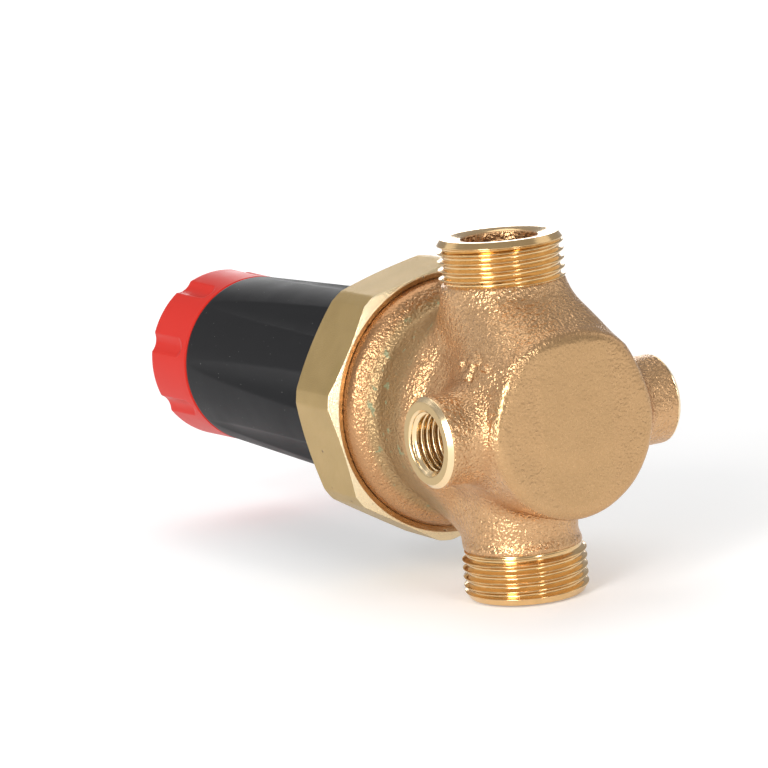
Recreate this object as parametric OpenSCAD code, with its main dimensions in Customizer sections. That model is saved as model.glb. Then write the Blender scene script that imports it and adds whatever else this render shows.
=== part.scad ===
// Pressure reducing valve, DN15, with a union nut that clamps a plastic spring bonnet.
// Origin: centre of the inlet connection's end face. +Z runs along the pipe axis to the outlet.
// +Y runs along the bonnet axis towards the adjusting knob. The gauge ports face -X and +X.
// Lengths are in millimetres. Heights marked "along the bonnet axis" count from the pipe axis.

/* [Connections] */
// Length between the end faces of the two pipe connections
face_to_face = 76; // [74:1:80]
// Outside diameter of the pipe threads, G 3/4
pipe_thread_d = 26.441; // [26.2:0.001:26.5]
// Pitch of the pipe threads
pipe_thread_pitch = 1.814; // [1.7:0.001:1.9]
// Number of full turns on each pipe thread
pipe_thread_turns = 5; // [3:1:5]
// Diameter of the cast water passage in each connection
pipe_bore_d = 16; // [14:0.5:17]
// Length between the faces of the two gauge ports
gauge_face_to_face = 56.8; // [54:0.2:60]
// Distance of the gauge port axis from the pipe axis, towards the closed end
gauge_offset = 11.2; // [10:0.1:12]
// Outside diameter of the gauge port thread, G 1/4
gauge_thread_d = 13.157; // [13.0:0.001:13.2]
// Pitch of the gauge port thread
gauge_thread_pitch = 1.337; // [1.3:0.001:1.4]
// Outside diameter of each gauge port boss
gauge_boss_d = 18.9; // [18:0.1:20]

/* [Body] */
// Distance of the closed end from the pipe axis
cap_y = 25; // [24:0.5:26]
// Outside diameter of the barrel
barrel_d = 38.2; // [37:0.1:39]
// Outside diameter of the flange rim in front of the union nut
rim_d = 54; // [53.8:0.1:54]
// Outside diameter of the cast neck behind each pipe thread
neck_d = 24.6; // [24:0.1:25]

/* [Union nut] */
// Width across the flats of the eight-sided union nut
nut_flats = 57.3; // [57:0.1:60]
// Length of the union nut
nut_len = 16.7; // [16:0.1:18]
// Start of the union nut along the bonnet axis
nut_y = 23.8; // [23.5:0.1:24]
// Pitch of the union nut thread
nut_pitch = 2; // [1.8:0.1:2]

/* [Bonnet and knob] */
// Outer end of the bonnet along the bonnet axis
bonnet_end = 113.3; // [110:0.1:116]
// Diameter of the bonnet at its outer end
bonnet_end_d = 39.4; // [38:0.1:40]
// Diameter of the bonnet where it enters the union nut
bonnet_base_d = 43.6; // [43:0.1:43.8]
// Number of tapered grooves around the bonnet
bonnet_grooves = 8; // [4:4:8]
// Outer end of the knob along the bonnet axis
knob_end = 131.5; // [130:0.1:134]
// Largest diameter of the knob
knob_d = 40.2; // [39.8:0.1:40.5]
// Number of grip grooves around the knob
knob_grooves = 8; // [4:1:10]

/* [Adjustment] */
// Pitch of the adjusting spindle, which is a left-hand thread
spindle_pitch = 2; // [1.5:0.5:2]
// Outside diameter of the adjusting spindle
spindle_d = 10; // [9.8:0.1:10]
// Wire diameter of the set spring
spring_wire = 3.6; // [3:0.1:3.8]
// Number of turns of the set spring
spring_turns = 9; // [6:1:10]
// Running clearance on the radius of a shaft in its hole
running = 0.05; // [0.02:0.01:0.08]

/* [Hidden] */

$fn = 96;
eps = 0.01;                 // how far a cutter runs past the face that it cuts
half = face_to_face / 2;    // height of the bonnet axis above the inlet face

// Standard 55 degree pipe thread depth
function pipe_depth(pitch) = 0.6403 * pitch;
thread_lead_in = 1;         // length of the chamfer on the end of a pipe thread
gauge_port_depth = 12.2;    // depth of the threaded wall of a gauge port
gauge_shift = 0.4;          // how far the middle of the two gauge ports lies from the pipe axis

// Valve seat and diaphragm stack, all along the bonnet axis
chamber_floor = -21.5;      // bottom of the outlet chamber
partition_low = -5;         // partition between the outlet and inlet chambers
partition_high = -1;
inlet_top = 14;             // top of the inlet chamber
recess_y = 21;              // shoulder on which the cartridge flange sits
shoulder_r = 22.3;          // the barrel widens to this radius in front of the flange
shoulder_y = 11.5;          // end of the shoulder's rounding
rim_front_y = 19.6;         // front of the flange's rim
rim_back_y = 24.9;          // back of the rim, inside the nut's mouth
collar_end = 31.5;          // end of the body's threaded collar
diaphragm_t = 1.5;          // diaphragm thickness
slip_t = 0.5;               // slip ring thickness
bonnet_flange_y = collar_end + diaphragm_t + slip_t;
nut_web_y = 37;             // inside face of the nut's rear web
seat_lip = -6.3;            // sealing lip of the valve seat
outlet_chamber_r = 14.6;
inlet_chamber_r = 16;
inlet_waist_r = 10.95;      // radius of the inlet neck where it leaves the barrel
land_low_r = 12.05;         // bore for the cartridge's lower land
land_high_r = 16.5;         // bore for the cartridge's upper land
recess_r = 22.2;            // bore for the cartridge flange

collar_crest_r = 26.95;     // body thread under the union nut
collar_root_r = 25.9;
thread_play = 0.2;          // radial gap between the body thread and the nut thread

stem_r = 3;
seat_r = 9.3;               // outside of the seat ring
piston_r = 7.42;
guide_r = 7.5;

wall_y = 108;               // inside face of the bonnet's end wall
collar_y = 105;             // inner face of the spindle's thrust collar
plate_y = 96;               // spring side of the spring plate, at the lowest setting
plate_seat_y = 35.2;        // spring side of the diaphragm plate
spring_mean_r = 12.3;
keyway_count = 4;

nut_corner = 8.4;           // turn of the nut's corners about the bonnet axis
nut_turned_r = 30.4;        // radius to which the nut's corners are turned down
bonnet_groove_turn = 51.25; // turn of the first bonnet groove, degrees
knob_groove_turn = 60.7;    // turn of the first knob groove, degrees

brass = "#c9a25e";
bronze = "#b98f68";
steel = "#b9bcc0";
black = "#2e2f31";
red = "#f0483c";
rubber = "#26282a";
ivory = "#e6dfcc";

// Puts a shape that is drawn about Z onto the bonnet axis
module on_axis() {
    translate([0, 0, half]) rotate([-90, 0, 0]) children();
}

// A tube about Z from a to b
module ring(ro, ri, a, b) {
    translate([0, 0, a]) difference() {
        cylinder(r = ro, h = b - a);
        translate([0, 0, -eps]) cylinder(r = ri, h = b - a + 2 * eps);
    }
}

// A solid disc about Z from a to b
module disc(r, a, b) {
    translate([0, 0, a]) cylinder(r = r, h = b - a);
}

// A cylinder of radius r from the point p to the point q
module rod(p, q, r) {
    d = q - p;
    len = norm(d);
    tilt = acos(d[2] / len);
    turn = atan2(d[1], d[0]);
    translate(p) rotate([0, tilt, turn]) cylinder(r = r, h = len);
}

// A cone from the point p to the point q, with radius rp at p and rq at q
module taper(p, q, rp, rq) {
    d = q - p;
    len = norm(d);
    tilt = acos(d[2] / len);
    turn = atan2(d[1], d[0]);
    translate(p) rotate([0, tilt, turn]) cylinder(r1 = rp, r2 = rq, h = len);
}

// Points of a ring-shaped thread profile from z0, one trapezoid per turn
function thread_points(root_r, crest_r, pitch, turns, z0, land = 0.18) = [
    for (k = [0 : turns - 1]) each [
        [root_r, z0 + (k + land) * pitch],
        [crest_r, z0 + (k + 0.5 - land / 2) * pitch],
        [crest_r, z0 + (k + 0.5 + land / 2) * pitch],
        [root_r, z0 + (k + 1 - land) * pitch]
    ]
];

// Points on an arc in the plane of a turned profile
function arc(cx, cy, r, from, to, steps) = [
    for (i = [0 : steps])
        let (a = from + (to - from) * i / steps) [cx + r * cos(a), cy + r * sin(a)]
];

// ---------------------------------------------------------------- body

// Turned outline of the barrel, the flange rim and the threaded collar
module body_turned() {
    r = barrel_d / 2;
    rim = rim_d / 2;
    edge = 2.4;
    round_r = 8;            // rounding of the shoulder
    shoulder_x = shoulder_r - round_r;
    rotate_extrude() polygon(concat(
        [[0, -cap_y]],
        arc(r - edge, -cap_y + edge, edge, -90, 0, 5),
        arc(shoulder_x, shoulder_y, round_r, -acos((r - shoulder_x) / round_r), 0, 6),
        arc(shoulder_r + 1.2, rim_front_y - 1.2, 1.2, 180, 90, 4),
        arc(rim - 3.4, rim_front_y + 3.4, 3.4, -90, 0, 5),
        [[rim, rim_back_y], [collar_root_r, rim_back_y]],
        thread_points(collar_root_r, collar_crest_r, nut_pitch, 3, rim_back_y + 0.1),
        [[collar_root_r, collar_end], [0, collar_end]]
    ));
}

// One pipe connection about Z, ending at z = half, with a neck that has radius waist lower down.
// Its thread is a plain cylinder at the crests.
module connection(waist) {
    r = pipe_thread_d / 2;
    root = r - pipe_depth(pipe_thread_pitch);
    start = half - 0.35 - pipe_thread_turns * pipe_thread_pitch;
    rotate_extrude() polygon([
        [0, 0], [waist, 0], [waist, 24.4], [neck_d / 2, start - 1.4], [neck_d / 2, start - 1.2],
        [root, start - 0.4], [root, start],
        [r, start], [r, half - thread_lead_in], [root, half], [0, half]
    ]);
}

// Water passage of one connection: counterbore, cast bore and the slanted way to its chamber
module passage(near, far, r) {
    bore_r = pipe_bore_d / 2;
    bore_end = 26.5;        // centre of the bore's round inner end
    translate([0, 0, bore_end]) sphere(r = bore_r);
    disc(bore_r, bore_end, half + eps);
    disc(bore_r + 1, half - 1.5, half + eps);
    rod(near, far, r);
}

// One gauge port about Z, opening towards +Z at z = 0. Its thread is a plain hole at the crests.
module gauge_port() {
    r = gauge_thread_d / 2;
    crest = r - pipe_depth(gauge_thread_pitch);
    rotate_extrude() polygon([
        [0, eps], [r + 0.25 + eps, eps], [crest, -0.95],
        [crest, -gauge_port_depth], [0, -gauge_port_depth - 2]
    ]);
    disc(2.6, -20, -gauge_port_depth);
}

// Boss around one gauge port, about Z, ending at z = 0
module gauge_boss() {
    r = gauge_boss_d / 2;
    rotate_extrude() polygon([[0, -26], [r + 0.4, -26], [r, -1], [r - 0.95, 0], [0, 0]]);
}

// Places a child at the gauge port face on side s, with its Z pointing out of the body
module at_gauge_face(s) {
    translate([s * gauge_face_to_face / 2 + gauge_shift, -gauge_offset, half]) rotate([0, s * 90, 0]) children();
}

// The outlet neck's bulk, which runs out over the barrel's end in a flat slope
module flare() {
    difference() {
        taper([0, -1, 26], [0, -12, 8], 11.3, 18.6);
        translate([0, -cap_y, 18]) rotate([35.3, 0, 0]) translate([-30, -10, 0]) cube([60, 60, 30]);
        translate([-30, -cap_y - 30, -30]) cube([60, 30, 60]);
    }
}

module body_outside() {
    on_axis() body_turned();
    for (s = [-1, 1]) {
        translate([0, 0, half]) rotate([s < 0 ? 180 : 0, 0, 0]) connection(s < 0 ? inlet_waist_r : neck_d / 2);
        at_gauge_face(s) gauge_boss();
    }
    // shoulders that carry the necks into the barrel
    translate([0, 0, half]) {
        flare();
        rod([0, 0, 26.5], [0, 8, 12], 11.6);
        rod([0, 0, -24], [0, -3, -8], 11);
        taper([0, 1, -24], [0, 10, -15], 10.5, 13);
    }
}

module body_cavity() {
    on_axis() {
        disc(outlet_chamber_r, chamber_floor, partition_low);
        disc(land_low_r, partition_low - eps, partition_high + eps);
        disc(inlet_chamber_r, partition_high, inlet_top);
        disc(land_high_r, inlet_top - eps, recess_y + eps);
        disc(recess_r, recess_y, collar_end + eps);
    }
    translate([0, 0, half]) {
        passage([0, -3, 26.5], [0, -12, 12], 5.5);
        rotate([180, 0, 0]) passage([0, -2, 26.5], [0, -7, 12], 6);
    }
    for (s = [-1, 1]) at_gauge_face(s) gauge_port();
}

module valve_body() {
    color(bronze) difference() {
        body_outside();
        body_cavity();
    }
}

// ---------------------------------------------------------------- union nut

module union_nut() {
    corner_r = nut_flats / 2 / cos(22.5);
    front = nut_y;
    back = nut_y + nut_len;
    crest = collar_root_r + thread_play;
    root = collar_crest_r + thread_play;
    color(brass) on_axis() difference() {
        intersection() {
            rotate([0, 0, nut_corner]) translate([0, 0, front]) cylinder(r = corner_r, h = nut_len, $fn = 8);
            rotate_extrude() polygon([
                [0, front], [nut_flats / 2 - 0.25, front], [nut_turned_r, front + 1.15],
                [nut_turned_r, back - 1.5], [nut_flats / 2 - 0.4, back], [0, back]
            ]);
        }
        rotate_extrude() polygon(concat(
            [[0, front - eps], [28.26, front - eps], [root, front + 1.3]],
            thread_points(root, crest, nut_pitch, 3, rim_back_y + 1.1),
            [[root, nut_web_y], [0, nut_web_y]]
        ));
        disc(bonnet_base_d / 2 + 0.5, nut_web_y - eps, back + eps);
    }
}

// ---------------------------------------------------------------- bonnet

// Radius of the bonnet's tapered outside at height y along the bonnet axis
function bonnet_r(y) = bonnet_end_d / 2
    + (bonnet_base_d - bonnet_end_d) / 2 * (bonnet_end - y) / (bonnet_end - 40);

module bonnet_outside() {
    rotate_extrude() polygon([
        [0, bonnet_flange_y], [26.6, bonnet_flange_y], [26.6, nut_web_y],
        [bonnet_r(nut_web_y), nut_web_y], [bonnet_r(bonnet_end - 0.5), bonnet_end - 0.5],
        [bonnet_end_d / 2 - 0.5, bonnet_end], [0, bonnet_end]
    ]);
}

module bonnet_inside() {
    disc(19.5, bonnet_flange_y - eps, 38);
    disc(16.6, 37, wall_y);
    for (k = [0 : keyway_count - 1])
        rotate([0, 0, bonnet_groove_turn + 22.5 + k * 360 / keyway_count])
            translate([0, -2.5, 38 - eps]) cube([18.2, 5, wall_y - 3 - 38]);
    disc(spindle_d / 2 + running, wall_y - eps, bonnet_end);
    disc(8.6, bonnet_end - 1.7, bonnet_end + eps);
}

// One tapered groove: a cutter that leaves the surface near the outer end
module bonnet_groove() {
    cutter = 9.3;
    deep = 1.74;
    rod([bonnet_r(40) + cutter - deep, 0, 40], [bonnet_r(112) + cutter + 0.02, 0, 112], cutter);
}

module bonnet() {
    color(black) on_axis() difference() {
        bonnet_outside();
        bonnet_inside();
        for (k = [0 : bonnet_grooves - 1])
            rotate([0, 0, bonnet_groove_turn + k * 360 / bonnet_grooves]) bonnet_groove();
    }
}

// ---------------------------------------------------------------- knob and spindle

knob_y = bonnet_end + 0.3;  // bonnet side of the knob
square_w = 7;               // drive square on the spindle
square_end = 121;

module knob_outside() {
    r = knob_d / 2;
    rotate_extrude() polygon(concat(
        [[0, knob_y], [bonnet_end_d / 2 - 0.25, knob_y], [bonnet_end_d / 2, knob_y + 0.3]],
        arc(r - 1.2, knob_end - 1.2, 1.2, 0, 90, 4),
        [[0, knob_end]]
    ));
}

module knob_inside() {
    difference() {
        disc(17.3, knob_y - eps, 127.5);
        disc(7.2, 114.3, 128);
    }
    disc(5.2, 124.5, knob_end + eps);
    disc(2.7, 121, 125);
    translate([0, 0, 117.5]) cube([square_w + 0.1, square_w + 0.1, 8], center = true);
    disc(8.6, knob_end - 0.8, knob_end + eps);
}

// One grip groove, open at the outer end and closed at the bonnet side
module knob_groove() {
    cutter = 3.4;
    translate([knob_d / 2 + cutter - 1, 0, 0]) {
        disc(cutter, 119.6, knob_end + 1);
        translate([0, 0, 119.6]) sphere(r = cutter);
    }
}

module adjusting_knob() {
    color(red) on_axis() difference() {
        knob_outside();
        knob_inside();
        for (k = [0 : knob_grooves - 1])
            rotate([0, 0, knob_groove_turn + k * 360 / knob_grooves]) knob_groove();
    }
}

module knob_lock_screw() {
    color(steel) on_axis() difference() {
        rotate_extrude() polygon([
            [0, 111], [1.6, 111], [2.1, 111.6], [2.1, 124.5], [4.7, 124.5],
            [4.7, 126.6], [4.2, 127.1], [0, 127.1]
        ]);
        translate([-6, -0.5, 126]) cube([12, 1, 2]);
    }
}

module adjusting_spindle() {
    r = spindle_d / 2;
    root = r - 0.75;
    turns = 12;
    color(steel) on_axis() difference() {
        union() {
            rotate_extrude() polygon(concat(
                [[0, 79.5], [root - 0.6, 79.5], [root, 80]],
                thread_points(root, r - running, spindle_pitch, turns, 80.2),
                [[root, collar_y], [8, collar_y], [8, 106.9], [r, 106.9], [r, 111.8],
                 [4.4, 111.8], [4.4, 112.9], [r, 112.9], [r, 113.8], [0, 113.8]]
            ));
            translate([-square_w / 2, -square_w / 2, 113.7])
                cube([square_w, square_w, square_end - 113.7]);
        }
        disc(2.15, 110, square_end + eps);
    }
}

module spindle_clip() {
    color(steel) on_axis() difference() {
        ring(7.4, 4.42, 111.85, 112.85);
        translate([0, -1.6, 111]) cube([9, 3.2, 3]);
    }
}

module spindle_thrust_washer() {
    color(ivory) on_axis() ring(9, 5.3, 106.95, wall_y);
}

// Travelling nut: the lugs run in the bonnet's keyways
module spring_plate() {
    color(brass) on_axis() difference() {
        union() {
            disc(15.6, plate_y, plate_y + 2.6);
            disc(8.2, plate_y, collar_y - 0.6);
            disc(10.2, plate_y - 2.2, plate_y + eps);
            for (k = [0 : keyway_count - 1])
                rotate([0, 0, bonnet_groove_turn + 22.5 + k * 360 / keyway_count])
                    translate([0, -2.2, plate_y]) cube([17.8, 4.4, 2.6]);
        }
        disc(spindle_d / 2 + running, plate_y - 3, collar_y);
    }
}

// Helical wire of the set spring: closed ends, open turns between them
function spring_z(t) =
    let (low = plate_seat_y + spring_wire / 2, high = plate_y - spring_wire / 2)
    let (u = t * spring_turns, rise = high - low - 2 * spring_wire)
    u < 1 ? low + spring_wire * u
    : u > spring_turns - 1 ? high - spring_wire * (spring_turns - u)
    : low + spring_wire + rise * (u - 1) / (spring_turns - 2);

module set_spring() {
    sides = 8;
    rings = spring_turns * 16;
    points = [
        for (i = [0 : rings], j = [0 : sides - 1])
            let (t = i / rings, a = 360 * spring_turns * t, b = 360 * j / sides)
            let (r = spring_mean_r + spring_wire / 2 * cos(b))
            [r * cos(a), r * sin(a), spring_z(t) + spring_wire / 2 * sin(b)]
    ];
    faces = concat(
        [[for (j = [0 : sides - 1]) j]],
        [for (i = [0 : rings - 1], j = [0 : sides - 1])
            let (n = (j + 1) % sides)
            [i * sides + j, (i + 1) * sides + j, (i + 1) * sides + n, i * sides + n]],
        [[for (j = [sides - 1 : -1 : 0]) rings * sides + j]]
    );
    color(steel) on_axis() polyhedron(points, faces, convexity = 10);
}

// ---------------------------------------------------------------- diaphragm stack

module slip_ring() {
    color(ivory) on_axis() ring(25.6, 19.6, collar_end + diaphragm_t, bonnet_flange_y);
}

module diaphragm() {
    top = collar_end + diaphragm_t;
    low = collar_end - 1;
    color(rubber) on_axis() rotate_extrude() polygon(concat(
        [[stem_r + 0.05, low], [15, low]],
        arc(17, low, 2, 180, 0, 6),
        [[19.2, collar_end], [25.6, collar_end], [25.6, top], [19.6, top]],
        arc(17, low + diaphragm_t, 2, 0, 180, 6),
        [[stem_r + 0.05, low + diaphragm_t]]
    ));
}

module diaphragm_plate() {
    low = collar_end - 1 + diaphragm_t;
    color(brass) on_axis() difference() {
        union() {
            disc(14.4, low, plate_seat_y);
            disc(10, plate_seat_y - eps, 38);
        }
        disc(stem_r + 0.05, low - 1, 39);
    }
}

module diaphragm_support() {
    top = collar_end - 1;
    color(brass) on_axis() difference() {
        rotate_extrude() polygon([[0, top - 2], [13.4, top - 2], [14.2, top - 1.2], [14.2, top], [0, top]]);
        disc(stem_r + 0.05, top - 3, top + 1);
    }
}

module stem_lock_nut() {
    color(brass) on_axis() difference() {
        disc_hex(10, 38, 42);
        disc(stem_r + 0.05, 37, 43);
    }
}

// A hexagonal prism about Z, flats apart by af
module disc_hex(af, a, b) {
    translate([0, 0, a]) cylinder(r = af / 2 / cos(30), h = b - a, $fn = 6);
}

// ---------------------------------------------------------------- valve trim

seal_top = seat_lip - 0.05; // face of the disc seal, just off the lip when the valve is shut
holder_floor = seal_top - 2.5;

module valve_stem() {
    support_low = collar_end - 3;
    color(brass) on_axis() difference() {
        rotate_extrude() polygon([
            [0, -17], [2, -17], [2.5, -16.5], [2.5, seal_top], [4.2, seal_top], [4.2, -4.6],
            [3.2, -3.6], [3.2, 9.5], [6.6, 11], [piston_r, 11.6], [piston_r, 14.5],
            [5.4, 14.5], [5.4, 17.5], [piston_r, 17.5], [piston_r, 27], [5, support_low],
            [stem_r, support_low], [stem_r, 43.4], [2.5, 44], [0, 44]
        ]);
        // pressure way from the outlet chamber to the diaphragm chamber
        disc(1.1, -18, 25.6);
        translate([0, 0, 25.6]) rotate([0, 90, 0]) disc(1.1, -9, 9);
    }
}

module piston_seal() {
    color(rubber) on_axis() rotate_extrude() translate([5.42, 14.6]) difference() {
        square([guide_r - 0.03 - 5.42, 2.8]);
        translate([2.5, 1.4]) circle(r = 0.6, $fn = 24);
    }
}

module cartridge_housing() {
    windows = 6;
    color(ivory) on_axis() difference() {
        rotate_extrude() polygon([
            [seat_r + 0.05, partition_low], [11.9, partition_low], [11.9, -3.65], [10.5, -3.65],
            [10.5, -1.95], [11.9, -1.95], [11.9, -0.9], [15.6, -0.9], [15.6, 0.4], [12.4, 0.4],
            [12.4, 14.5], [16.4, 14.5], [16.4, 16.5], [14.4, 16.5], [14.4, 18.7], [16.4, 18.7],
            [16.4, recess_y], [22, recess_y], [22, collar_end], [19.6, collar_end], [19.6, 24],
            [guide_r, 24], [guide_r, 8.8], [9.4, 8.8], [9.4, 12], [10.6, 13], [10.6, -0.4],
            [8.4, -1.4], [8.4, -2.4], [seat_r + 0.05, -2.4]
        ]);
        for (k = [0 : windows - 1])
            rotate([90, 0, k * 360 / windows]) translate([0, 5, 0]) disc(3.8, 9, 14);
    }
}

module cartridge_oring_upper() {
    color(rubber) on_axis() rotate_extrude() translate([15.44, 17.6]) circle(r = 1, $fn = 32);
}

module cartridge_oring_lower() {
    color(rubber) on_axis() rotate_extrude() translate([11.27, -2.8]) circle(r = 0.76, $fn = 32);
}

module inlet_strainer() {
    color(steel) on_axis() ring(15.3, 14.7, 0.4, 14.5);
}

module valve_seat() {
    color(steel) on_axis() rotate_extrude() polygon([
        [7, -2.4], [seat_r, -2.4], [seat_r, partition_low], [8.6, partition_low - 0.2],
        [7.9, seat_lip], [7.3, seat_lip], [7, seat_lip + 0.6]
    ]);
}

module disc_holder() {
    color(brass) on_axis() difference() {
        rotate_extrude() polygon([
            [0, holder_floor - 2.2], [8.8, holder_floor - 2.2], [9.8, holder_floor - 1.2],
            [9.8, seal_top - 0.9], [0, seal_top - 0.9]
        ]);
        disc(9.1, holder_floor, 0);
        disc(2.55, -15, 0);
    }
}

module disc_seal() {
    color(rubber) on_axis() ring(9.05, 2.55, holder_floor, seal_top);
}

module disc_lock_washer() {
    color(steel) on_axis() ring(5, 2.55, holder_floor - 3.2, holder_floor - 2.2);
}

module disc_nut() {
    low = holder_floor - 6.4;
    color(brass) on_axis() difference() {
        disc_hex(8, low, low + 3.2);
        disc(2.55, low - 1, low + 4);
    }
}

valve_body();
union_nut();
bonnet();
adjusting_knob();
knob_lock_screw();
adjusting_spindle();
spindle_clip();
spindle_thrust_washer();
spring_plate();
set_spring();
slip_ring();
diaphragm();
diaphragm_plate();
diaphragm_support();
stem_lock_nut();
valve_stem();
piston_seal();
cartridge_housing();
cartridge_oring_upper();
cartridge_oring_lower();
inlet_strainer();
valve_seat();
disc_holder();
disc_seal();
disc_lock_washer();
disc_nut();
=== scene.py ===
"""Pressure reducing valve: the visual model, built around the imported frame.

Shapes are worked out in millimetres in two axis systems and put into the row frame in metres:
the bonnet axis (s along +Y, measured from the pipe axis) and the pipe axis (s along +Z).
"""

import math

import bpy
import numpy as np
from mathutils import Matrix, Vector, noise


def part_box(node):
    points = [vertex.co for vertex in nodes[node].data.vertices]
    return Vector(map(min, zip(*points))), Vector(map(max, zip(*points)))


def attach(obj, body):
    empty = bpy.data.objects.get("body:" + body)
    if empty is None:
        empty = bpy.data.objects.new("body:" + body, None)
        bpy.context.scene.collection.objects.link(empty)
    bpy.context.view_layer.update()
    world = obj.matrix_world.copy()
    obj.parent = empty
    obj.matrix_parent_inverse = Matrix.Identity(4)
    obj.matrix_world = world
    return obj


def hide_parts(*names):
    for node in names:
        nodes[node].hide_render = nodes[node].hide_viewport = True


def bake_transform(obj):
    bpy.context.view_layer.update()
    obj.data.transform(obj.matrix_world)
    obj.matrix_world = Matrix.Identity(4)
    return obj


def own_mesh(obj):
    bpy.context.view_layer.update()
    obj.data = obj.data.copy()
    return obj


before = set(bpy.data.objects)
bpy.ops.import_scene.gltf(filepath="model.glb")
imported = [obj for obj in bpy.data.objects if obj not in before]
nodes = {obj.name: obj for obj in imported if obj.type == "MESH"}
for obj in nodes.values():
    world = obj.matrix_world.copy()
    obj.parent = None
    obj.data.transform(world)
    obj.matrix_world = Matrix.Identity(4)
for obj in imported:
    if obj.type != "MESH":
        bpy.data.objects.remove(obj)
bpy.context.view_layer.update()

MM = 0.001
TURN = 2 * math.pi


def box_mm(node):
    """A node's lowest and highest corners in millimetres."""
    low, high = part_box(node)
    return np.array(low) / MM, np.array(high) / MM


# ------------------------------------------------------------------ sizes, from the frame

body_low, body_high = box_mm("valve_body")
HALF = (body_low[2] + body_high[2]) / 2  # height of the bonnet axis
PIPE_END = body_high[2] - HALF  # end face of a connection, from the bonnet axis
GAUGE_END = {-1: -body_low[0], 1: body_high[0]}  # faces of the gauge ports, from the pipe axis
CAP_Y = body_low[1]
COLLAR_END = body_high[1]
nut_low, nut_high = box_mm("union_nut")
bonnet_low, bonnet_high = box_mm("bonnet")
knob_low, knob_high = box_mm("adjusting_knob")

PIPE_R, PIPE_PITCH = 13.2205, 1.814  # G 3/4
PIPE_ROOT = PIPE_R - 0.6403 * PIPE_PITCH
GAUGE_R, GAUGE_PITCH = 6.5785, 1.337  # G 1/4
GAUGE_CREST = GAUGE_R - 0.6403 * GAUGE_PITCH
GAUGE_Y = -11.2
GAUGE_DEPTH = 12.2  # of the threaded wall
BORE_R = 8.0  # of the cast bore inside a connection
BOSS_R = 9.45
BOSS_TOP = 1.0  # height of the machined ring round the end of a gauge boss
BARREL_R = 19.1
CAST_CAP_Y = CAP_Y + 0.15  # closed end of the barrel, with room for its rough skin
SHOULDER_R = 22.3
RIM_R = 27.05
RIM_Y = 24.9
COLLAR_R = 25.9  # root of the body's thread, under the union nut
NECK_R = 12.3
WAIST_R = 10.95  # the inlet's neck, where it leaves the barrel
NECK_END = 27.6  # where the cast neck gives way to the machined end


# ------------------------------------------------------------------ mesh helpers


def to_frame_bonnet(x, y, s):
    """Bonnet axis coordinates to the row frame, in metres."""
    return np.stack([x, s, HALF - y], -1) * MM


def to_frame_pipe(x, y, s):
    """Pipe axis coordinates to the row frame, in metres, s counted from the bonnet axis."""
    return np.stack([x, y, s + HALF], -1) * MM


def add_object(name, points, faces, materials, face_material=None, smooth=True):
    mesh = bpy.data.meshes.new(name)
    mesh.from_pydata([tuple(p) for p in points], [], [tuple(f) for f in faces])
    for m in materials:
        mesh.materials.append(m)
    if face_material is not None:
        mesh.polygons.foreach_set("material_index", np.asarray(face_material, np.int32))
    mesh.polygons.foreach_set("use_smooth", np.full(len(mesh.polygons), smooth))
    mesh.update()
    obj = bpy.data.objects.new(name, mesh)
    bpy.context.scene.collection.objects.link(obj)
    return obj


def signed_volume(points, quads):
    a, b, c, d = (points[quads[:, i]] for i in range(4))
    first = np.einsum("ij,ij->i", a, np.cross(b, c)).sum()
    return first + np.einsum("ij,ij->i", a, np.cross(c, d)).sum()


def facing_out(points, quads):
    return quads[:, ::-1] if signed_volume(points, quads) < 0 else quads


def ring_angles(columns):
    return (np.arange(columns) / columns * TURN)[:, None]


def turned(radius, along, to_frame):
    """Points and quads of a turned or nearly turned ring. radius and along are (columns, rows) arrays."""
    columns, rows = radius.shape
    angle = ring_angles(columns)
    points = to_frame(radius * np.cos(angle), radius * np.sin(angle), along).reshape(-1, 3)
    i, j = np.meshgrid(np.arange(columns), np.arange(rows), indexing="ij")
    nxt, up = (i + 1) % columns, (j + 1) % rows
    quads = np.stack([i * rows + j, nxt * rows + j, nxt * rows + up, i * rows + up], -1).reshape(-1, 4)
    return points, facing_out(points, quads)


def dense_profile(corners, step, radius):
    """A closed profile's corners, each rounded by radius, with points no further apart than step."""
    corners = [np.array(c, float) for c in corners]
    rounded = []
    for before, here, after in zip(corners[-1:] + corners, corners, corners[1:] + corners[:1]):
        back, ahead = before - here, after - here
        back_length, ahead_length = np.linalg.norm(back), np.linalg.norm(ahead)
        cut = min(radius, back_length * 0.45, ahead_length * 0.45)
        start, end = here + back / back_length * cut, here + ahead / ahead_length * cut
        for t in (0.0, 0.33, 0.67, 1.0):
            rounded.append(start * (1 - t) ** 2 + here * 2 * t * (1 - t) + end * t**2)
    dense = []
    for a, b in zip(rounded, rounded[1:] + rounded[:1]):
        count = max(1, math.ceil(np.linalg.norm(b - a) / step))
        dense += [a + (b - a) * q / count for q in range(count)]
    return np.array(dense)


def crisp(corners, bevel=0.05, hold=0.16):
    """An open profile whose inner corners keep a narrow bevel, with rows beside it that hold the shading."""
    corners = [np.array(c, float) for c in corners]
    out = [corners[0]]
    for before, here, after in zip(corners, corners[1:], corners[2:]):
        for other, gaps in ((before, (hold, bevel)), (after, (bevel, hold))):
            length = np.linalg.norm(other - here)
            out += [here + (other - here) / length * min(gap, 0.4 * length) for gap in gaps]
    return np.array(out + [corners[-1]])


def stack_rows(rows, columns):
    """Joins profile pieces: arrays of (radius, along) points, or (radius by column, along) pairs."""
    radius, along = [], []
    for item in rows:
        r, s = item if isinstance(item, tuple) else (item[:, 0], item[:, 1])
        radius.append(np.broadcast_to(r, (columns, len(s))))
        along.append(np.broadcast_to(s, (columns, len(s))))
    return np.concatenate(radius, 1), np.concatenate(along, 1)


def fade(x, low, high):
    """0 up to low, 1 from high, and a smooth step between them."""
    t = np.clip((x - low) / (high - low), 0, 1)
    return t * t * (3 - 2 * t)


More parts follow.
